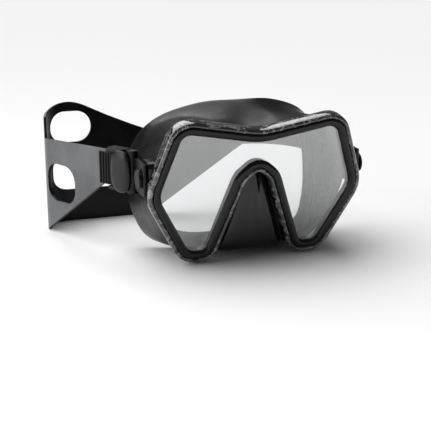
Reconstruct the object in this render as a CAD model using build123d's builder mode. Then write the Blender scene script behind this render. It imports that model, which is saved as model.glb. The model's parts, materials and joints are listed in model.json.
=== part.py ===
"""Snorkel mask: one flat lens in a two-part frame, silicone skirt with a nose
pocket, and a split head strap on two swivelling roller buckles.

Millimetres, +Z up, mask facing -Y, left is -X. Everything is drawn about the
foot of the lens centre and moved once, at the end, so that the origin is the
centre of the footprint on the surface that the mask stands on.
"""
from build123d import *
from math import cos, radians, sin
import os

# driving dimensions
lensTilt = 12  # degrees, the top of the lens leans forward
lensHeight = 56.2  # lens centre above the floor
glass = 4  # tempered glass thickness
topDip = (0, 42.5)  # lens outline, right half, in the lens plane
browCorner = (61.5, 54)
cheek = (79, 1.5)
jawOuter = (53, -47.4)
jawInner = (37.5, -47.4)
notchSide = (16, 15)
notchTop = (0, 29)
cornerRadii = {topDip: 60, browCorner: 10, cheek: 20, jawOuter: 11}
notchRadii = {jawInner: 8, notchSide: 22, notchTop: 12}

beadWidth = 3  # skirt bead round the glass edge
frameWidth = 6.6  # outline of the frame, outward from the glass edge
trimWidth = 7.9  # outline of the smoked trim
bezelWidth = 4.4
lipOverlap = 1.8  # bezel lip over the glass
frameBack = -6  # along the lens normal, the glass lies from 0 to its thickness
bezelFront = 6
wall = 2  # silicone
gap = 0.1  # between parts that clip together
running = 0.05  # radial, pins in holes

skirtReach = 85  # loft end, before the face cut
faceRadius = 122  # curve of the face in plan
faceFront = 45  # skirt edge at the forehead

swingY, swingZ = 8, 70  # horizontal pivot through both lugs
barrelX, barrelY = 87.5, 33  # vertical hinge barrel
swivel = {-1: 30, 1: -5}  # degrees each buckle is turned about its barrel
rollerReach = 20  # barrel to roller
barrelRadius = 4.5
pinRadius = 2
axleRadius = 1.5
rollerRadius = 2.6
buckleLow, buckleHigh = 54, 87
strapLow, strapHigh = 58, 83  # strap at its neck
band = 2  # strap thickness
leftBack, rightBack = (-145, 164), (99, 166)  # corners of the loop
crownX = -110  # the strap's own middle, where its crown loop rises
crownTop = 105

sides = {-1: "left", 1: "right"}
lensPlane = Plane(
    origin=(0, 0, lensHeight),
    x_dir=(1, 0, 0),
    z_dir=(0, -cos(radians(lensTilt)), -sin(radians(lensTilt))),
)
lensAxis = Axis(lensPlane.origin, lensPlane.z_dir)
pieces = {}


def finish(block, name):
    """Names a finished piece and keeps it for export."""
    block.part.label = name
    pieces[name] = block.part


def mirrored(half):
    """A closed outline from its right half, which starts and ends on the middle line."""
    return half + [(-x, z) for x, z in reversed(half[1:-1])]


def lens_outline(growth):
    """Sketch of the glass outline, grown outward, in whatever sketch is open."""
    half = {**cornerRadii, **notchRadii}
    corners = mirrored(list(half))
    radii = [half[(abs(x), z)] for x, z in corners]
    with BuildLine() as edge:
        FilletPolyline(*corners, radius=radii, close=True)
    make_face(edge.edges())
    if growth:
        shortest = 0.01 if growth > bezelWidth else None  # wide offsets leave a speck in the notch
        offset(amount=growth, kind=Kind.ARC, min_edge_length=shortest)


def lens_ring(inner, outer, low, high):
    """A ring round the glass between two growths of its outline, added where it is called."""
    with BuildSketch(lensPlane.offset(low)) as ring:
        lens_outline(outer)
    extrude(ring.sketch, amount=high - low)
    with BuildSketch(lensPlane.offset(low - 1)) as hole:
        lens_outline(inner)
    extrude(hole.sketch, amount=high - low + 2, mode=Mode.SUBTRACT)


def level_foot():
    """Cuts the open part level with the floor."""
    split(bisect_by=Plane.XY, keep=Keep.TOP)


# glass
with BuildPart() as lens:
    with BuildSketch(lensPlane):
        lens_outline(0)
    extrude(amount=glass)
    chamfer(lens.faces().sort_by(lensAxis)[-1].edges(), 0.5)
finish(lens, "lens")

# frame
lugInner, lugOuter = 72, 84
lugFront, lugBack, lugHalf = -3, 18, 14
with BuildPart() as mainFrame:
    with BuildSketch(lensPlane.offset(frameBack)):
        lens_outline(frameWidth)
    extrude(amount=glass - gap - frameBack)
    for side in sides:
        with BuildSketch(Plane.YZ.offset(side * lugInner)):
            with Locations(((lugFront + lugBack) / 2, swingZ)):
                RectangleRounded(lugBack - lugFront, 2 * lugHalf, 5)
        extrude(amount=side * (lugOuter - lugInner))
        with BuildSketch(Plane.YZ.offset(side * lugOuter)):
            with Locations((swingY, swingZ)):
                Circle(barrelRadius)
        extrude(amount=side * 4.6)
        with BuildSketch(Plane.YZ.offset(side * (lugOuter - 4))):
            with Locations((swingY, swingZ)):
                Circle(pinRadius + running)
        extrude(amount=side * 10, mode=Mode.SUBTRACT)
    # the glass, its bead and the skirt pass inside the ring
    with BuildSketch(lensPlane.offset(frameBack - 20)):
        lens_outline(beadWidth + gap)
    extrude(amount=40, mode=Mode.SUBTRACT)
finish(mainFrame, "main_frame")

with BuildPart() as bezel:
    lens_ring(-lipOverlap, bezelWidth, glass + gap, bezelFront)
finish(bezel, "front_bezel")

with BuildPart() as trim:
    lens_ring(bezelWidth + gap, trimWidth, frameBack + 2, bezelFront - 0.4)
    # rebate over the main frame, and slots for its lugs
    with BuildSketch(lensPlane.offset(frameBack)):
        lens_outline(frameWidth + gap)
    extrude(amount=glass - frameBack, mode=Mode.SUBTRACT)
    with Locations((-barrelX, lugFront - gap, swingZ), (barrelX, lugFront - gap, swingZ)):
        Box(40, 40, 2 * lugHalf + 1, align=(Align.CENTER, Align.MIN, Align.CENTER), mode=Mode.SUBTRACT)
finish(trim, "smoked_trim")

with BuildPart() as retainer:
    lens_ring(gap * 2, beadWidth - gap, frameBack, -beadWidth - gap)
finish(retainer, "retainer_ring")

# skirt
skirtFront = frameBack - 0.5
frontHalf = [(0, 44), (30, 49), (59, 53), (71, 30), (76, 2), (67, -26), (49, -48), (20, -49), (0, -49)]
middleHalf = [(0, 111), (30, 111), (58, 103), (74, 82), (78, 56), (77, 28), (64, 5), (28, 2), (0, 4)]
sealHalf = [(0, 122), (30, 120), (60, 108), (78, 86), (84, 56), (80, 26), (66, 2), (28, -2), (0, 4)]
middleY = 40


def shrink(half, amount, centre):
    """Moves an outline's points toward a centre by a wall thickness."""
    moved = []
    for x, z in half:
        away = max((x**2 + (z - centre) ** 2) ** 0.5, 1)
        moved.append((x - amount * x / away, z - amount * (z - centre) / away))
    return moved


def skirt_body(inset, frontAt):
    """Loft from the lens frame back to the face."""
    profiles = (
        (lensPlane.offset(frontAt), frontHalf, 0),
        (Plane.XZ.offset(-middleY), middleHalf, lensHeight),
        (Plane.XZ.offset(-skirtReach), sealHalf, lensHeight),
    )
    sections = []
    for plane, half, centre in profiles:
        with BuildSketch(plane) as section:
            with BuildLine():
                Spline(*mirrored(shrink(half, inset, centre)), periodic=True)
            make_face()
        sections.append(section.sketch)
    loft(sections)


pocketLow, pocketHigh = 6, 66
pocketRings = ((pocketLow, 25, 34), (36, 16.5, 27), (pocketHigh, 5.5, 25))  # height, half width, centre
pocketDepth = 24


def nose_pocket(inset):
    """Half widths and depths of level rings, narrow at the bridge and wide at the nostrils."""
    rings = []
    for height, halfWidth, centre in pocketRings:
        level = min(max(height, pocketLow + inset), pocketHigh - inset)
        with BuildSketch(Plane.XY.offset(level)) as ring:
            with Locations((0, centre)):
                Ellipse(halfWidth - inset, pocketDepth - inset)
        rings.append(ring.sketch)
    loft(rings)


with BuildPart() as hollow:
    skirt_body(wall, skirtFront - wall)
with BuildPart() as pocket:
    nose_pocket(wall)
with BuildPart() as skirt:
    skirt_body(0, skirtFront)
    nose_pocket(0)
    add(hollow.part, mode=Mode.SUBTRACT)
    add(pocket.part, mode=Mode.SUBTRACT)
    # the face closes on a cylinder, forehead forward of the temples
    with BuildSketch(Plane.XY.offset(-20)):
        with Locations((0, faceFront + faceRadius)):
            Circle(faceRadius)
    extrude(amount=180, mode=Mode.SUBTRACT)
    with BuildSketch(lensPlane.offset(skirtFront - wall - 1)):
        lens_outline(-beadWidth)
    extrude(amount=20, mode=Mode.SUBTRACT)
    level_foot()
    # bead that wraps the glass edge, and the neck that joins it to the skirt
    lens_ring(-beadWidth, -gap, skirtFront - wall / 2, 0)
    lens_ring(-beadWidth, beadWidth, -beadWidth, 0)
    lens_ring(gap, beadWidth, 0, glass)
finish(skirt, "skirt")


# buckles
def side_plane(side, height=0):
    """Level plane at a hinge barrel: X across the mask, Y along the strap as the buckle is turned."""
    turn = radians(swivel[side])
    return Plane(
        origin=(side * barrelX, barrelY, height),
        x_dir=(cos(turn), sin(turn), 0),
        z_dir=(0, 0, 1),
    )


def block(plane, low, high, x0, x1, y0, y1, corner=0, mode=Mode.ADD):
    """An upright block between two heights, from two corners in the given level plane."""
    with BuildSketch(plane.offset(low)) as base:
        with Locations(((x0 + x1) / 2, (y0 + y1) / 2)):
            if corner:
                RectangleRounded(abs(x1 - x0), y1 - y0, corner)
            else:
                Rectangle(abs(x1 - x0), y1 - y0)
    extrude(base.sketch, amount=high - low, mode=mode)


def post(plane, low, high, radius, x=0, y=0, mode=Mode.ADD):
    """An upright round post or hole."""
    with BuildSketch(plane.offset(low)) as base:
        with Locations((x, y)):
            Circle(radius)
    extrude(base.sketch, amount=high - low, mode=mode)


knuckle = 8  # height of each of the arm's two knuckles
middleLow, middleHigh = buckleLow + knuckle + gap * 2, buckleHigh - knuckle - gap * 2
cheekThick = 2.5
cheekLow, cheekHigh = buckleLow + cheekThick, buckleHigh - cheekThick
armThick = 3
armInner = lugOuter + 0.5
armFront = 0


def arm(side):
    """Plate on the lug's boss, with the two outer knuckles of the hinge barrel."""
    square = Plane((side * barrelX, barrelY, 0), x_dir=(1, 0, 0), z_dir=(0, 0, 1))
    inner, outer = side * (armInner - barrelX), side * (armInner + armThick - barrelX)
    with BuildPart() as made:
        block(square, swingZ - 12, swingZ + 12, inner, outer, armFront - barrelY, -4, 1.2)
        block(square, swingZ - 12, swingZ + 12, inner, outer, -6.5, 0)
        post(square, buckleLow, buckleHigh, barrelRadius)
        post(square, middleLow - gap * 2, middleHigh + gap * 2, barrelRadius + 1.2, mode=Mode.SUBTRACT)
        post(square, buckleLow - 1, buckleHigh + 1, pinRadius + running, mode=Mode.SUBTRACT)
        with BuildSketch(Plane.YZ.offset(side * (lugOuter - 2))) as hole:
            with Locations((swingY, swingZ)):
                Circle(barrelRadius + running)
        extrude(hole.sketch, amount=side * 20, mode=Mode.SUBTRACT)
    return made


def buckle_body(side):
    """Middle knuckle, inner plate and two cheeks that carry the roller's axle."""
    turned = side_plane(side)
    with BuildPart() as made:
        post(turned, middleLow, middleHigh, barrelRadius)
        block(turned, middleLow, middleHigh, -side * 4.8, -side * 2.2, 0, 12)
        block(turned, buckleLow, buckleHigh, -side * 4.8, side * 3.8, 6.2, 24, 1.5)
        block(turned, cheekLow, cheekHigh, -side * 2.2, side * 9, 6, 40, mode=Mode.SUBTRACT)
        block(turned, cheekLow, cheekHigh, -side * 9, side * 9, 13, 40, mode=Mode.SUBTRACT)
        post(turned, middleLow - 1, middleHigh + 1, pinRadius + running, mode=Mode.SUBTRACT)
        post(turned, buckleLow - 1, buckleHigh + 1, axleRadius + running, y=rollerReach, mode=Mode.SUBTRACT)
    return made


coverGap = 0.4
coverFront, coverBack = -3.5, 17
coverCorner = 9
beyondCover = 20


def release_cover(side):
    """Rounded cover over the buckle, hinged on the barrel and lifted to free the strap."""
    turned = side_plane(side)
    inner = barrelRadius + coverGap
    with BuildPart() as made:
        with BuildSketch(turned.offset(buckleLow)) as plan:
            with BuildLine():
                Polyline(
                    (side * inner, coverFront), (side * inner, coverBack),
                    (side * (inner + 1.2), coverBack), (side * (inner + 2.4), coverBack - 5),
                    (side * (inner + 2.6), 2), (side * (inner + 1.4), coverFront), (side * inner, coverFront),
                )
            make_face()
        extrude(plan.sketch, amount=buckleHigh - buckleLow)
        # rounded when seen from the side
        face = Plane(turned.origin, x_dir=turned.y_dir, z_dir=turned.x_dir)
        with BuildSketch(face.offset(-beyondCover)) as outline:
            with Locations(((coverFront + coverBack) / 2, (buckleLow + buckleHigh) / 2)):
                RectangleRounded(coverBack - coverFront, buckleHigh - buckleLow, coverCorner)
        extrude(outline.sketch, amount=2 * beyondCover, mode=Mode.INTERSECT)
        fillet(made.edges().filter_by(lambda e: abs(e.tangent_at(0).Z) < 0.1 and e.length > 12), 0.6)
    return made


def lever_spring(side):
    """Leaf spring behind the cover that holds it shut."""
    with BuildPart() as made:
        block(side_plane(side), 64, 72, side * 4, side * 4.7, 7, 14)
    return made


def pin(side, radius, y):
    """Upright pin through a buckle."""
    with BuildPart() as made:
        post(side_plane(side), buckleLow + gap, buckleHigh - gap, radius, y=y)
    return made


def roller(side):
    """Sleeve that the strap turns round."""
    low, high = cheekLow + gap * 3, cheekHigh - gap * 3
    with BuildPart() as made:
        post(side_plane(side), low, high, rollerRadius, y=rollerReach)
        post(side_plane(side), low, high, axleRadius + running, y=rollerReach, mode=Mode.SUBTRACT)
    return made


def pivot_cap(side):
    """Cap whose stem snaps into the lug's boss and keeps the arm on."""
    with BuildPart() as made:
        with BuildSketch(Plane.YZ.offset(side * (lugOuter + 5))):
            with Locations((swingY, swingZ)):
                Circle(7.5)
        extrude(amount=side * 1.6)
        fillet(made.edges().sort_by(Axis.X)[-1 if side > 0 else 0], 0.7)
        with BuildSketch(Plane.YZ.offset(side * (lugOuter + 5))):
            with Locations((swingY, swingZ)):
                Circle(pinRadius)
        extrude(amount=-side * 8)
    return made


for side, where in sides.items():
    finish(arm(side), f"{where}_arm")
    finish(pivot_cap(side), f"{where}_pivot_cap")
    finish(buckle_body(side), f"{where}_buckle_body")
    finish(pin(side, pinRadius, 0), f"{where}_hinge_pin")
    finish(pin(side, axleRadius, rollerReach), f"{where}_roller_axle")
    finish(roller(side), f"{where}_roller")
    finish(release_cover(side), f"{where}_release_cover")
    finish(lever_spring(side), f"{where}_cover_spring")

# head strap
offsetIn = rollerRadius + 0.3 + band / 2  # strap centre line from the roller's centre
leftStart = side_plane(-1).from_local_coords((offsetIn, rollerReach, 0))
rightStart = side_plane(1).from_local_coords((-offsetIn, rollerReach, 0))
leftBend = side_plane(-1).from_local_coords((offsetIn, rollerReach + 12, 0))
rightBend = side_plane(1).from_local_coords((-offsetIn, rollerReach + 12, 0))
bendRadius, leftRadius, rightRadius = 25, 20, 52
windowLow, windowHigh = 28, 60
sideWindow = (103, 139)  # along the left leg
windowCorner = 13
shoulder = 79  # top edge at the loop's corners

crownHalf = 18  # half width of the crown loop's hole
crownHoleLow, crownHoleHigh = 70, 97
rearWindow = (-127, -40)
flareEnd, neckStart = -44, 47
neckEnd = barrelY + rollerReach + 10
backY = leftBack[1] - leftRadius
above, beyond = 120, 200  # clear of the strap


def roller_loop(side):
    """Strap end turned round the front of the roller, with its short ribbed tail outside."""
    turned = side_plane(side).offset(strapLow)
    across = offsetIn * side
    with BuildSketch(turned) as turn:
        with Locations((0, rollerReach)):
            Circle(offsetIn + band / 2)
            Circle(offsetIn - band / 2, mode=Mode.SUBTRACT)
        with Locations((0, rollerReach)):
            Rectangle(30, 30, align=(Align.CENTER, Align.MIN), mode=Mode.SUBTRACT)
        with Locations((across, rollerReach)):
            Rectangle(band, tailLength, align=(Align.CENTER, Align.MIN))
        with Locations((-across, rollerReach)):
            Rectangle(band, 1, align=(Align.CENTER, Align.MIN))
        with Locations([(across + side * band / 2, rollerReach + rib) for rib in ribs]):
            Circle(0.8)
    extrude(turn.sketch, amount=strapHigh - strapLow)


tailLength = 12
ribs = (1.5, 4.5, 7.5, 10.5)

with BuildPart() as strap:
    with BuildSketch() as plan:
        with BuildLine() as route:
            FilletPolyline(
                leftStart, leftBend, leftBack, rightBack, rightBend, rightStart,
                radius=(bendRadius, leftRadius, rightRadius, bendRadius),
            )
        trace(route.line, line_width=band)
    extrude(amount=crownTop + 1)
    # side view of the left leg: a narrow neck that deepens toward the back of the head
    with BuildSketch(Plane.YZ.offset(-beyond)):
        with BuildLine():
            Polyline((0, -1), (backY, -1), (neckEnd, strapLow), (0, strapLow), (0, -1))
        make_face()
        with BuildLine():
            Polyline((0, above), (0, strapHigh), (neckEnd, strapHigh), (backY, shoulder), (backY, above), (0, above))
        make_face()
        with Locations((sum(sideWindow) / 2, (windowLow + windowHigh) / 2)):
            RectangleRounded(sideWindow[1] - sideWindow[0], windowHigh - windowLow, windowCorner)
    extrude(amount=beyond, mode=Mode.SUBTRACT)
    # right leg: the neck all the way
    with BuildSketch(Plane.YZ.offset(60)):
        with Locations((beyond / 2, strapLow / 2 - 5)):
            Rectangle(beyond, strapLow + 10)
        with Locations((beyond / 2, (above + strapHigh) / 2)):
            Rectangle(beyond, above - strapHigh)
    extrude(amount=beyond, mode=Mode.SUBTRACT)
    # back view: the crown loop over the strap's middle, then down to the right neck
    with BuildSketch(Plane.XZ.offset(-backY)):
        with BuildLine():
            Polyline((60, -1), (flareEnd, -1), (neckStart, strapLow), (60, strapLow), (60, -1))
        make_face()
        with BuildLine():
            Spline(
                (crownX - 36, shoulder), (crownX - 24, crownTop - 8), (crownX, crownTop),
                (crownX + 24, crownTop - 9), (crownX + 48, shoulder + 6), (neckStart, strapHigh),
            )
            Polyline(
                (neckStart, strapHigh), (60, strapHigh), (60, above), (-beyond, above),
                (-beyond, shoulder), (crownX - 36, shoulder),
            )
        make_face()
        with Locations((crownX, (crownHoleLow + crownHoleHigh) / 2)):
            RectangleRounded(2 * crownHalf, crownHoleHigh - crownHoleLow, windowCorner)
        with Locations((sum(rearWindow) / 2, (windowLow + windowHigh) / 2)):
            RectangleRounded(rearWindow[1] - rearWindow[0], windowHigh - windowLow, windowCorner)
    extrude(amount=-beyond, mode=Mode.SUBTRACT)
    for side in sides:
        roller_loop(side)
finish(strap, "head_strap")

# origin at the centre of the footprint, on the floor
boxes = [piece.bounding_box() for piece in pieces.values()]
lowX, highX = min(box.min.X for box in boxes), max(box.max.X for box in boxes)
lowY, highY = min(box.min.Y for box in boxes), max(box.max.Y for box in boxes)
move = Location((-(lowX + highX) / 2, -(lowY + highY) / 2, 0))
print("moved by", move.position)

os.makedirs("parts", exist_ok=True)
for name, piece in pieces.items():
    piece.move(move)
    export_step(piece, f"parts/{name}.step")
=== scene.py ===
import bpy
import bmesh
import json
import math
from mathutils import Matrix, Vector


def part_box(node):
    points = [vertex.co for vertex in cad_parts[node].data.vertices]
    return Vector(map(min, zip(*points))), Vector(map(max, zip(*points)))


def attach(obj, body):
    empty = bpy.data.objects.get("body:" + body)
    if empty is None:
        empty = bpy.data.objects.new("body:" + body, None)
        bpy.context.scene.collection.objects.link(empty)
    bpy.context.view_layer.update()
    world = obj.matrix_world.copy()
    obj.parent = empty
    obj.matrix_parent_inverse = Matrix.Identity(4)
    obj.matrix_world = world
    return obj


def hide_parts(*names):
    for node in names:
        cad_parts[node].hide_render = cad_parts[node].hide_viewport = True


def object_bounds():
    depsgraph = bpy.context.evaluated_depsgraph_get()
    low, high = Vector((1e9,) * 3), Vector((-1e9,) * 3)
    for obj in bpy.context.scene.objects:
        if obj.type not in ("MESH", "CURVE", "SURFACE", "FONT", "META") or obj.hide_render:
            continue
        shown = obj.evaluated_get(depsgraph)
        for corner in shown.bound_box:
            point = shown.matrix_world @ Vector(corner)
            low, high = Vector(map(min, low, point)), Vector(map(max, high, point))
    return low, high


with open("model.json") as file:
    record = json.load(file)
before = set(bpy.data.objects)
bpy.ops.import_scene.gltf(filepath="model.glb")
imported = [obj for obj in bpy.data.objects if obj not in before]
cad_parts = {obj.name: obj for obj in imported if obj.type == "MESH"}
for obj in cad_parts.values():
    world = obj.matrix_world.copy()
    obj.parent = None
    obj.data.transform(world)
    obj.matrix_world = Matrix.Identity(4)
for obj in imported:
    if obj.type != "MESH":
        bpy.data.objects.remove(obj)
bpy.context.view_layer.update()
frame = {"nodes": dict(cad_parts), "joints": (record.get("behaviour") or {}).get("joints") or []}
mm = 0.001


# small helpers
def colour(hexText):  # sRGB hex to linear
    values = [int(hexText[i:i + 2], 16) / 255 for i in (1, 3, 5)]
    return [v / 12.92 if v <= 0.04045 else ((v + 0.055) / 1.055) ** 2.4 for v in values] + [1.0]


def addNode(material, kind, inputs=None, into=None, stops=(), out=0, **settings):
    # inputs are values or sockets; the output goes into the named socket of the surface
    tree = material.node_tree
    made = tree.nodes.new(kind)
    for key, value in settings.items():
        setattr(made, key, value)
    for key, value in (inputs or {}).items():
        if isinstance(value, bpy.types.NodeSocket):
            tree.links.new(value, made.inputs[key])
        else:
            made.inputs[key].default_value = value
    for index, (place, shade) in enumerate(stops):
        elements = made.color_ramp.elements
        element = elements[index] if index < len(elements) else elements.new(place)
        element.position, element.color = place, colour(shade)
    if into:
        tree.links.new(made.outputs[out], tree.nodes["Principled BSDF"].inputs[into])
    return made.outputs[out]


def newMaterial(name, **surface):
    material = bpy.data.materials.new(name)
    material.use_nodes = True
    for key, value in surface.items():
        material.node_tree.nodes["Principled BSDF"].inputs[key.replace("_", " ")].default_value = value
    return material


def perMm(size):  # texture scale for a pattern of this many millimetres
    return 1000 / size


def piece(name, bm, material, body, node, smooth=True):
    mesh = bpy.data.meshes.new(name)
    bm.to_mesh(mesh)
    bm.free()
    made = bpy.data.objects.new(name, mesh)
    bpy.context.collection.objects.link(made)
    mesh.materials.append(material)
    if smooth:
        mesh.shade_smooth()
    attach(made, body)
    if node:
        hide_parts(node)
    return made


def sharpEdges(bm, degrees):
    limit = math.radians(degrees)
    return [e for e in bm.edges if len(e.link_faces) == 2 and e.calc_face_angle(0) > limit]


mould = {"weld": 0.001, "flat": 1.5, "segments": 3}  # mm, degrees between faces that count as one, arc steps


def rounded(name, node, material, body, width, degrees=30):
    # a moulded part's edges are never sharp: the solid again, welded, with rounded edges
    bm = bmesh.new()
    bm.from_mesh(frame["nodes"][node].data)
    bmesh.ops.remove_doubles(bm, verts=bm.verts, dist=mould["weld"] * mm)
    bmesh.ops.dissolve_limit(bm, angle_limit=math.radians(mould["flat"]), verts=bm.verts, edges=bm.edges)
    bmesh.ops.bevel(
        bm, geom=sharpEdges(bm, degrees), offset=width * mm, offset_type="OFFSET", affect="EDGES",
        segments=mould["segments"], profile=0.5, material=-1, clamp_overlap=True,
    )
    made = piece(name, bm, material, body, node)
    made.modifiers.new("normals", "WEIGHTED_NORMAL").keep_sharp = True
    return made


# materials
# injection-moulded silicone: satin, with a soft skin and a faint matt mottle from the tool
skirtSilicone = newMaterial(
    "moulded black silicone", Base_Color=colour("#040405"), IOR=1.4, Specular_IOR_Level=0.32,
    Coat_Weight=0.1, Coat_Roughness=0.12,
)
place = addNode(skirtSilicone, "ShaderNodeTexCoord", out="Object")
mottle = addNode(skirtSilicone, "ShaderNodeTexNoise", {"Vector": place, "Scale": perMm(9), "Detail": 3})
addNode(skirtSilicone, "ShaderNodeMapRange", {
    "Value": mottle, "From Min": 0.3, "From Max": 0.7, "To Min": 0.24, "To Max": 0.38,
}, into="Roughness")
grain = addNode(skirtSilicone, "ShaderNodeTexNoise", {"Vector": place, "Scale": perMm(1.6), "Detail": 3})
addNode(skirtSilicone, "ShaderNodeBump", {
    "Height": grain, "Distance": 0.00006, "Strength": 0.5,
}, into="Normal")

# the nose pocket comes from a mirror-polished core, so it has the sharpest highlights
pocketSilicone = newMaterial(
    "mirror-polished silicone", Base_Color=colour("#030304"), IOR=1.4, Specular_IOR_Level=0.35,
    Coat_Weight=0.5, Coat_Roughness=0.05,
)
place = addNode(pocketSilicone, "ShaderNodeTexCoord", out="Object")
mottle = addNode(pocketSilicone, "ShaderNodeTexNoise", {"Vector": place, "Scale": perMm(12), "Detail": 3})
addNode(pocketSilicone, "ShaderNodeMapRange", {
    "Value": mottle, "From Min": 0.3, "From Max": 0.7, "To Min": 0.14, "To Max": 0.26,
}, into="Roughness")
swell = addNode(pocketSilicone, "ShaderNodeTexNoise", {"Vector": place, "Scale": perMm(6), "Detail": 1})
addNode(pocketSilicone, "ShaderNodeBump", {
    "Height": swell, "Distance": 0.0001, "Strength": 0.3,
}, into="Normal")

# the strap's inner skin is polished like the skirt, so that hair slides on it
strapInner = newMaterial(
    "polished strap silicone", Base_Color=colour("#050506"), IOR=1.4, Specular_IOR_Level=0.3,
)
place = addNode(strapInner, "ShaderNodeTexCoord", out="Object")
polish = addNode(strapInner, "ShaderNodeTexNoise", {
    "Vector": place, "Scale": perMm(14), "Detail": 4, "Roughness": 0.6,
})
addNode(strapInner, "ShaderNodeMapRange", {
    "Value": polish, "From Min": 0.2, "From Max": 0.8, "To Min": 0.26, "To Max": 0.42,
}, into="Roughness")
grain = addNode(strapInner, "ShaderNodeTexNoise", {"Vector": place, "Scale": perMm(1.2), "Detail": 3})
addNode(strapInner, "ShaderNodeBump", {
    "Height": grain, "Distance": 0.00005, "Strength": 0.5,
}, into="Normal")

# its outer skin is painted grey: painted light standing in for the sheen that black silicone catches on its
# lit outer faces; the skin is matt
strapOuterPaintedLight = newMaterial(
    "strap outer silicone painted light grey", IOR=1.43, Sheen_Weight=0.2, Sheen_Roughness=0.35, Sheen_Tint=colour("#b9bcc0"),
)
place = addNode(strapOuterPaintedLight, "ShaderNodeTexCoord", out="Object")
paintedLightMottle = addNode(strapOuterPaintedLight, "ShaderNodeTexNoise", {"Vector": place, "Scale": perMm(26), "Detail": 3})
# painted light: a mottled grey base colour in place of the lit sheen
addNode(strapOuterPaintedLight, "ShaderNodeValToRGB", {"Fac": paintedLightMottle}, into="Base Color", stops=[
    (0.3, "#4e4f51"), (0.7, "#68696b"),
])
addNode(strapOuterPaintedLight, "ShaderNodeMapRange", {
    "Value": paintedLightMottle, "From Min": 0.2, "From Max": 0.8, "To Min": 0.4, "To Max": 0.56,
}, into="Roughness")
grain = addNode(strapOuterPaintedLight, "ShaderNodeTexNoise", {"Vector": place, "Scale": perMm(0.9), "Detail": 3})
addNode(strapOuterPaintedLight, "ShaderNodeBump", {
    "Height": grain, "Distance": 0.00005, "Strength": 0.6,
}, into="Normal")

# gloss black polycarbonate: mirror skin over a deep black body
frameBlack = newMaterial(
    "gloss black polycarbonate", Base_Color=colour("#040405"), IOR=1.5, Specular_IOR_Level=0.3,
    Coat_Weight=0.12, Coat_Roughness=0.03,
)
place = addNode(frameBlack, "ShaderNodeTexCoord", out="Object")
mottle = addNode(frameBlack, "ShaderNodeTexNoise", {"Vector": place, "Scale": perMm(5), "Detail": 4})
addNode(frameBlack, "ShaderNodeMapRange", {
    "Value": mottle, "From Min": 0.3, "From Max": 0.75, "To Min": 0.08, "To Max": 0.2,
}, into="Roughness")
swell = addNode(frameBlack, "ShaderNodeTexNoise", {"Vector": place, "Scale": perMm(11), "Detail": 1})
addNode(frameBlack, "ShaderNodeBump", {
    "Height": swell, "Distance": 0.0002, "Strength": 0.25,
}, into="Normal")

# two shots of polycarbonate, clear and smoke, that swirled together in the tool under a clear skin
trimSmoke = newMaterial(
    "marbled smoke polycarbonate", Roughness=0.1, IOR=1.58, Coat_Weight=0.8, Coat_Roughness=0.03,
)
place = addNode(trimSmoke, "ShaderNodeTexCoord", out="Object")
swirl = addNode(trimSmoke, "ShaderNodeTexNoise", {
    "Vector": place, "Scale": perMm(14), "Detail": 4, "Roughness": 0.58, "Distortion": 1.8,
})
addNode(trimSmoke, "ShaderNodeValToRGB", {"Fac": swirl}, into="Base Color", stops=[
    (0.4, "#0a0a0b"), (0.49, "#1c1d1e"), (0.535, "#8a8c8f"), (0.57, "#2a2b2d"), (0.7, "#0b0b0c"),
])
addNode(trimSmoke, "ShaderNodeBump", {"Height": swirl, "Distance": 0.0001, "Strength": 0.2}, into="Normal")

# glass-filled nylon buckle: fine satin skin
buckleBlack = newMaterial(
    "moulded black nylon", Base_Color=colour("#070708"), IOR=1.5, Specular_IOR_Level=0.35,
)
place = addNode(buckleBlack, "ShaderNodeTexCoord", out="Object")
mottle = addNode(buckleBlack, "ShaderNodeTexNoise", {"Vector": place, "Scale": perMm(4), "Detail": 4})
addNode(buckleBlack, "ShaderNodeMapRange", {
    "Value": mottle, "From Min": 0.3, "From Max": 0.7, "To Min": 0.3, "To Max": 0.46,
}, into="Roughness")
grain = addNode(buckleBlack, "ShaderNodeTexNoise", {"Vector": place, "Scale": perMm(0.7), "Detail": 2})
addNode(buckleBlack, "ShaderNodeBump", {
    "Height": grain, "Distance": 0.00004, "Strength": 0.6,
}, into="Normal")

# turned stainless steel, fine marks from the lathe
pinSteel = newMaterial(
    "turned stainless steel", Base_Color=colour("#b4b6b9"), Metallic=1.0, Roughness=0.25,
)
place = addNode(pinSteel, "ShaderNodeTexCoord", out="Object")
marks = addNode(pinSteel, "ShaderNodeTexNoise", {"Vector": place, "Scale": perMm(0.5), "Detail": 2})
addNode(pinSteel, "ShaderNodeBump", {"Height": marks, "Distance": 0.00003, "Strength": 0.5}, into="Normal")

# tempered float glass with a semi-mirror skin, so it greys what lies behind it
lensGlass = newMaterial(
    "tempered lens glass", Base_Color=colour("#eef1f1"), Roughness=0.0, IOR=1.52,
    Transmission_Weight=1.0, Coat_Weight=1.0, Coat_IOR=2.45, Coat_Roughness=0.0,
)
print("materials ready")


# the lens plane and its outline
outline = {  # right half of the glass edge, in mm about the lens centre: place, corner radius
    "corners": [((0, 42.5), 60), ((61.5, 54), 10), ((79, 1.5), 20), ((53, -47.4), 11), ((37.5, -47.4), 8),
                ((16, 15), 22), ((0, 29), 12)],
    "cornerSteps": 9,
    "sideSteps": 6,
    "longest": 8,  # straights longer than this are divided, so that long faces stay even
    "tilt": 12,  # degrees, the top of the lens leans forward
    "height": 56.2,  # lens centre above the floor
    "swing": (0, 8, 70),  # pivot in the lugs, from the floor under the lens centre
}
lensTilt, lensHeight = math.radians(outline["tilt"]), outline["height"]
joints = {joint["name"]: Vector(joint["pos_m"]) for joint in frame["joints"]}
foot = joints["strap_swing"] - Vector(outline["swing"]) * mm


def at(x, y, z):  # mm about the foot of the lens centre
    return foot + Vector((x, y, z)) * mm


def onLens(u, v, height):  # mm across, up and out from the back of the glass
    s, c = math.sin(lensTilt), math.cos(lensTilt)
    return at(u, -v * s - height * c, lensHeight + v * c - height * s)


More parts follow.
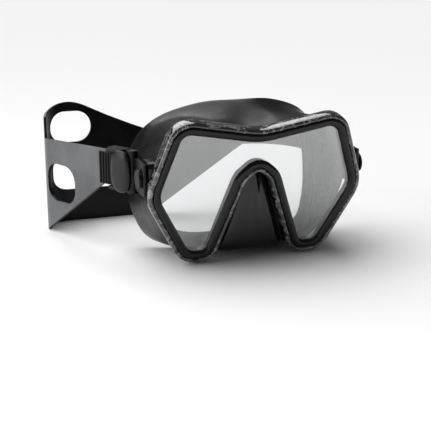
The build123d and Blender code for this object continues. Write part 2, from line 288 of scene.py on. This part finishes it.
def glassEdge():  # points round the glass with their outward directions
    half = [(Vector(place), radius) for place, radius in outline["corners"]]
    corners = half + [(Vector((-p.x, p.y)), r) for p, r in reversed(half[1:-1])]
    made = []
    for index, (corner, radius) in enumerate(corners):
        before = (corner - corners[index - 1][0]).normalized()
        after = (corners[(index + 1) % len(corners)][0] - corner).normalized()
        turn = -before.angle_signed(after)  # positive turns left
        bow = radius * (1 if turn > 0 else -1)
        normal = Vector((-before.y, before.x))
        centre = corner - before * radius * math.tan(abs(turn) / 2) + normal * bow
        for step in range(outline["cornerSteps"] + 1):
            out = normal.copy()
            out.rotate(Matrix.Rotation(turn * step / outline["cornerSteps"], 2))
            made.append((centre - out * bow, out))
    filled = []
    for index, (place, out) in enumerate(made):
        nextPlace = made[(index + 1) % len(made)][0]
        filled.append((place, out))
        if (nextPlace - place).length > outline["longest"]:
            for step in range(1, outline["sideSteps"]):
                filled.append((place.lerp(nextPlace, step / outline["sideSteps"]), out.copy()))
    return filled


edgePoints = glassEdge()


def loop(bm, points):
    verts = [bm.verts.new(p) for p in points]
    return [bm.edges.new((verts[i - 1], verts[i])) for i in range(len(verts))]


def edgeLoops(bm, section):  # a loop round the glass for each offset out and height
    return [loop(bm, [onLens(*(p + n * out), height) for p, n in edgePoints]) for out, height in section]


def capped(bm, loops):  # joins loops into a body closed at both ends
    for a, b in zip(loops, loops[1:]):
        bmesh.ops.bridge_loops(bm, edges=a + b)
    for edges in (loops[0], loops[-1]):
        bmesh.ops.contextual_create(bm, geom=edges)
    bmesh.ops.recalc_face_normals(bm, faces=bm.faces)


def ringPiece(name, section, material, node):  # a moulding that follows the glass edge
    bm = bmesh.new()
    loops = edgeLoops(bm, section)
    for a, b in zip(loops, loops[1:] + loops[:1]):
        bmesh.ops.bridge_loops(bm, edges=a + b)
    bmesh.ops.recalc_face_normals(bm, faces=bm.faces)
    piece(name, bm, material, "mask", node)


# frame
rim = {  # sections across the rim, in mm: out from the glass edge and up from the back of the glass
    "trim": [(4.5, 4.1), (4.5, 5.0), (4.8, 5.6), (5.6, 6.1), (6.6, 6.0), (7.5, 5.3), (8.0, 4.3), (8.2, 2.5),
             (8.2, -2.5), (8.1, -3.6), (7.7, -4.2), (7.0, -4.1), (6.8, -2), (6.8, 3), (6.2, 4.1)],
    "bezel": [(-1.8, 4.1), (-1.75, 4.5), (-1.3, 5.0), (-0.3, 5.8), (1.2, 6.4), (2.8, 6.5), (3.9, 6.1),
              (4.4, 5.3), (4.4, 4.2), (3.0, 4.1), (0.0, 4.1)],
    "frameEdge": 0.8,
    "glass": [(-0.3, 0.0), (0.0, 0.3), (0.0, 3.6), (-0.4, 4.0)],
}
ringPiece("smoked_trim_moulding", rim["trim"], trimSmoke, "smoked_trim")
ringPiece("front_bezel_moulding", rim["bezel"], frameBlack, "front_bezel")
bm = bmesh.new()  # the glass is flat on both sides and its edge is ground; nothing bends the view through it
capped(bm, edgeLoops(bm, rim["glass"]))
piece("lens_glass", bm, lensGlass, "mask", "lens", smooth=False)
rounded("main_frame_moulding", "main_frame", frameBlack, "mask", rim["frameEdge"])
print("frame modelled")

# skirt
skirt = {
    "front": [(0, 44), (30, 49), (59, 53), (71, 30), (76, 2), (67, -26), (49, -48), (20, -49), (0, -49)],
    "seal": [(0, 120), (30, 118.5), (60, 107), (77.5, 86), (83, 56), (79.5, 28), (66, 6), (30, 1.5), (0, 5)],
    "back": -6.5,  # where it leaves the frame, behind the glass
    "forehead": 43, "faceRadius": 122,
    "steps": 8,  # between outline points
    "wall": 1.7,
    "along": 14,  # steps from the frame to the face
    "middle": 58,  # height that the wall spreads from
    "leave": 20, "arrive": 16,  # how far the wall runs straight out of the frame and into the face
    "spread": 2, "tuck": 3,  # how far it spreads out of the frame and comes in to the face
    "dip": 4, "flare": 7,  # the forehead wall spreads less and comes in more
    "cheek": 14,  # the cheeks bulge
    "foot": 0.9,  # no lower than this above the floor
    # rolled edge and the thin inner seal that folds back into the mask: inward and back from the edge
    "flap": [(0.6, 1.2), (2.5, 1.8), (6, 1), (11, -2.5), (16, -8), (20, -15)],
}


def spun(half, steps):  # smooth closed curve through an outline given by its right half
    points = [Vector(p) for p in half] + [Vector((-x, z)) for x, z in reversed(half[1:-1])]
    count = len(points)
    made = []
    for i in range(count):
        a, b, c, d = (points[(i + k) % count] for k in (-1, 0, 1, 2))
        for step in range(steps):
            t = step / steps
            made.append(0.5 * ((2 * b) + (c - a) * t + (2 * a - 5 * b + 4 * c - d) * t**2
                               + (3 * b - a - 3 * c + d) * t**3))
    return made


def faceDepth(x):  # the face is a cylinder, forehead forward of the temples
    return skirt["forehead"] + skirt["faceRadius"] - math.sqrt(skirt["faceRadius"] ** 2 - x**2)


def soften(made, levels):  # gives a sheet its wall thickness and a smooth surface
    wall = made.modifiers.new("wall", "SOLIDIFY")
    wall.thickness, wall.offset = skirt["wall"] * mm, -1
    soft = made.modifiers.new("soft", "SUBSURF")
    soft.levels = soft.render_levels = levels


def skirtPiece():
    paths = []
    for f, s in zip(spun(skirt["front"], skirt["steps"]), spun(skirt["seal"], skirt["steps"])):
        start = onLens(f.x, f.y, skirt["back"])
        end = at(s.x, faceDepth(s.x), s.y)
        radial = Vector((s.x, 0, s.y - skirt["middle"])).normalized()
        over, under = max(0.0, radial.z), max(0.0, -radial.z)
        spread = skirt["spread"] - skirt["dip"] * over + skirt["cheek"] * under * abs(radial.x)
        tuck = skirt["tuck"] + skirt["flare"] * over
        first = start + (Vector((0, skirt["leave"], 0)) + radial * spread) * mm
        second = end - (Vector((0, skirt["arrive"], 0)) + radial * tuck) * mm
        path = []
        for step in range(skirt["along"] + 1):
            t = step / skirt["along"]
            weights = ((1 - t) ** 3, 3 * t * (1 - t) ** 2, 3 * t * t * (1 - t), t**3)
            path.append(sum((p * w for p, w in zip((start, first, second, end), weights)), Vector()))
        for inward, back in skirt["flap"]:
            path.append(end + (Vector((0, back, 0)) - radial * inward) * mm)
        paths.append(path)
    bm = bmesh.new()
    rings = [loop(bm, ring) for ring in zip(*paths)]
    for a, b in zip(rings, rings[1:]):
        bmesh.ops.bridge_loops(bm, edges=a + b)
    bmesh.ops.recalc_face_normals(bm, faces=bm.faces)
    for vert in bm.verts:
        vert.co.z = max(vert.co.z, skirt["foot"] * mm)
    soften(piece("skirt_moulding", bm, skirtSilicone, "mask", "skirt"), 1)


skirtPiece()


# nose pocket
nosePocket = {
    "rows": [(74, 4.5, 0.5), (71, 6.8, 1.6), (66, 9.4, 3.2), (58, 12.2, 5.0), (48, 15.4, 6.8),
             (38, 18.8, 8.2), (28, 22.0, 9.2), (18, 25.2, 9.8), (10, 27.6, 9.4),
             (5.6, 28.2, 7.4)],  # height, half width, depth
    "across": 28,
    "full": 2.6,  # above 2 the front is flatter and its sides are steeper
    "wing": 8, "wingBack": 3,  # edge that runs out behind the frame
    "floor": (10, 26),  # runs back under the nose
    "ridge": (1.6, 0.05, 0.13),  # height, place and width as parts of the half width
    "ridgeMiddle": 40, "ridgeReach": 60,  # heights where it is strongest and how far it fades
    "edge": 6.8,  # behind the glass plane, inside the frame's notch
}


def pocketPiece():
    bm = bmesh.new()
    rows = []
    ridge, ridgeAt, ridgeWidth = nosePocket["ridge"]
    wing = Vector((nosePocket["wing"], 0, 0)) * mm
    behind = Vector((0, nosePocket["wingBack"], 0)) * mm
    for height, half, bulge in nosePocket["rows"]:
        back = -(height - lensHeight) * math.tan(lensTilt) + nosePocket["edge"]
        fade = 1 - ((height - nosePocket["ridgeMiddle"]) / nosePocket["ridgeReach"]) ** 2
        row = []
        for step in range(nosePocket["across"] + 1):
            t = 2 * step / nosePocket["across"] - 1
            out = bulge * (1 - abs(t) ** nosePocket["full"])
            out += ridge * math.exp(-((t - ridgeAt) / ridgeWidth) ** 2) * fade
            row.append(at(half * math.sin(t * math.pi / 2), back - out, height))
        row = [row[0] - wing + behind] + row + [row[-1] + wing + behind]
        rows.append([bm.verts.new(p) for p in row])
    lowest = rows[-1]
    for depth in nosePocket["floor"]:
        rows.append([bm.verts.new(v.co + Vector((0, depth, 0)) * mm) for v in lowest])
    lines = [[bm.edges.new(pair) for pair in zip(row, row[1:])] for row in rows]
    for a, b in zip(lines, lines[1:]):
        bmesh.ops.bridge_loops(bm, edges=a + b)
    bmesh.ops.recalc_face_normals(bm, faces=bm.faces)
    if sum(f.normal.y * f.calc_area() for f in bm.faces) > 0:  # the faces look forward
        bmesh.ops.reverse_faces(bm, faces=bm.faces)
    soften(piece("nose_pocket_moulding", bm, pocketSilicone, "mask", None), 2)


pocketPiece()
print("skirt modelled")

# strap and buckles
cover = {  # a domed plate on the CAD cover's inner face, in mm
    "length": 21, "height": 33, "thick": 3.8, "square": 2.6, "around": 48,
    "out": 4.9, "back": 6.55,  # from the hinge barrel
    "turn": {"left": 30, "right": -5},  # degrees, as each buckle is swivelled
    "edge": [(0.94, 0.0), (0.99, 0.25), (1.0, 0.5)],  # part of the size, part of the thickness
    "dome": (0.5, 0.9, 1.2, 1.42), "domeFrom": 0.5, "domeFull": 0.7,  # angles up it, start, roundness
}


def coverPiece(side):
    # the CAD cover gives the place; the dome swells out of its inner face
    low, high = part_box(f"{side}_release_cover")
    turned = math.radians(cover["turn"][side])
    outward = Vector((math.cos(turned), math.sin(turned), 0)) * (-1 if side == "left" else 1)
    along = Vector((-math.sin(turned), math.cos(turned), 0))
    inner = joints[f"{side}_cover_lift"] + (outward * cover["out"] + along * cover["back"]) * mm
    inner.z = (low[2] + high[2]) / 2
    bm = bmesh.new()
    loops = []
    start, full = cover["domeFrom"], cover["domeFull"]
    dome = [(math.cos(a) ** full, start + (1 - start) * math.sin(a)) for a in cover["dome"]]
    for size, lift in cover["edge"] + dome:
        points = []
        for step in range(cover["around"]):
            turn = math.tau * step / cover["around"]
            c, s = math.cos(turn), math.sin(turn)
            u = math.copysign(abs(c) ** (2 / cover["square"]), c) * cover["length"] / 2 * size
            v = math.copysign(abs(s) ** (2 / cover["square"]), s) * cover["height"] / 2 * size
            points.append(inner + (along * u + Vector((0, 0, v)) + outward * cover["thick"] * lift) * mm)
        loops.append(loop(bm, points))
    capped(bm, loops)
    name, node = f"{side}_cover_moulding", f"{side}_release_cover"
    piece(name, bm, buckleBlack, f"{side}_cover", node)


strap = {"edge": 0.55, "sharp": 40, "middle": (-20, 110, 70), "paintedLightFrom": 68}  # mm, sharp in degrees
headStrap = rounded(
    "head_strap_moulding", "head_strap", strapInner, "strap_assembly", strap["edge"],
    strap["sharp"],
)
headStrap.data.materials.append(strapOuterPaintedLight)
loopMiddle = at(*strap["middle"])
for face in headStrap.data.polygons:  # painted light: the outer faces get the grey, which stops short of the ribbed ends at the buckles
    outward = (face.center - loopMiddle).xy.to_3d()
    if face.normal.dot(outward) > 0 and face.center.y > at(0, strap["paintedLightFrom"], 0).y:
        face.material_index = 1
buckle = {  # piece: CAD node, moving body, edge radius in mm
    "arm": ("arm", "strap_assembly", 0.5),
    "buckle": ("buckle_body", "strap_assembly", 0.5),
    "cap": ("pivot_cap", "mask", 0.2),
}
for side in ("left", "right"):
    coverPiece(side)
    for part, (node, body, edge) in buckle.items():
        rounded(f"{side}_{part}_moulding", f"{side}_{node}", buckleBlack, body, edge)
print("strap and buckles modelled")

finishes = {
    "retainer_ring": frameBlack, "roller": buckleBlack,
    "pin": pinSteel, "axle": pinSteel, "spring": pinSteel,
}
for node, made in frame["nodes"].items():
    for ending, finish in finishes.items():
        if node.endswith(ending):
            made.data.materials.clear()
            made.data.materials.append(finish)
print("small parts finished")

# stage, light and camera
stage = {"half": 6, "below": 0.0002}  # metres
paper = newMaterial("matt white paper", Base_Color=colour("#f4f4f4"), Roughness=0.9)
bm = bmesh.new()
bmesh.ops.create_grid(bm, x_segments=1, y_segments=1, size=stage["half"])
mesh = bpy.data.meshes.new("floor")
bm.to_mesh(mesh)
bm.free()
floor = bpy.data.objects.new("floor", mesh)
bpy.context.collection.objects.link(floor)
floor.location.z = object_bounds()[0][2] - stage["below"]
mesh.materials.append(paper)

lights = {
    "world": 0.16,
    "sky": 3.0, "skyAngle": 70, "skyTurn": (-24, -14, 0),
    "panel": 4, "panelSize": (0.5, 0.7), "panelPlace": (-0.9, 0.05, 0.35),  # left of the strap
    "middle": (0, 30, 50),  # what the panel faces, in mm
}
world = bpy.data.worlds.new("studio")
bpy.context.scene.world = world
world.use_nodes = True
world.node_tree.nodes["Background"].inputs["Color"].default_value = (1, 1, 1, 1)
world.node_tree.nodes["Background"].inputs["Strength"].default_value = lights["world"]

sky = bpy.data.lights.new("sky", "SUN")
sky.energy, sky.angle = lights["sky"], math.radians(lights["skyAngle"])
overhead = bpy.data.objects.new("sky", sky)
overhead.rotation_euler = [math.radians(turn) for turn in lights["skyTurn"]]
bpy.context.collection.objects.link(overhead)

panel = bpy.data.lights.new("left_panel", "AREA")
panel.shape, panel.energy = "RECTANGLE", lights["panel"]
panel.size, panel.size_y = lights["panelSize"]
leftPanel = bpy.data.objects.new("left_panel", panel)
leftPanel.location = at(*lights["middle"]) + Vector(lights["panelPlace"])
leftPanel.rotation_euler = (-Vector(lights["panelPlace"])).to_track_quat("-Z", "Y").to_euler()
bpy.context.collection.objects.link(leftPanel)

camera = {
    "side": 20, "above": 14, "distance": 0.842,  # degrees from straight ahead, metres
    "lens": 91.9, "sensor": 36, "shift": (-0.0916, -0.0592),
}
view = bpy.data.cameras.new("camera")
viewer = bpy.data.objects.new("camera", view)
bpy.context.collection.objects.link(viewer)
side, above = math.radians(camera["side"]), math.radians(camera["above"])
target = at(0, 0, lensHeight)
back = Vector((-math.sin(side) * math.cos(above), -math.cos(side) * math.cos(above), math.sin(above)))
viewer.location = target + back * camera["distance"]
viewer.rotation_euler = (-back).to_track_quat("-Z", "Y").to_euler()
view.sensor_width = camera["sensor"]
view.lens = camera["lens"]
view.shift_x, view.shift_y = camera["shift"]
bpy.context.scene.camera = viewer
bpy.context.scene.view_settings.view_transform = "Standard"

print("stage and camera ready")
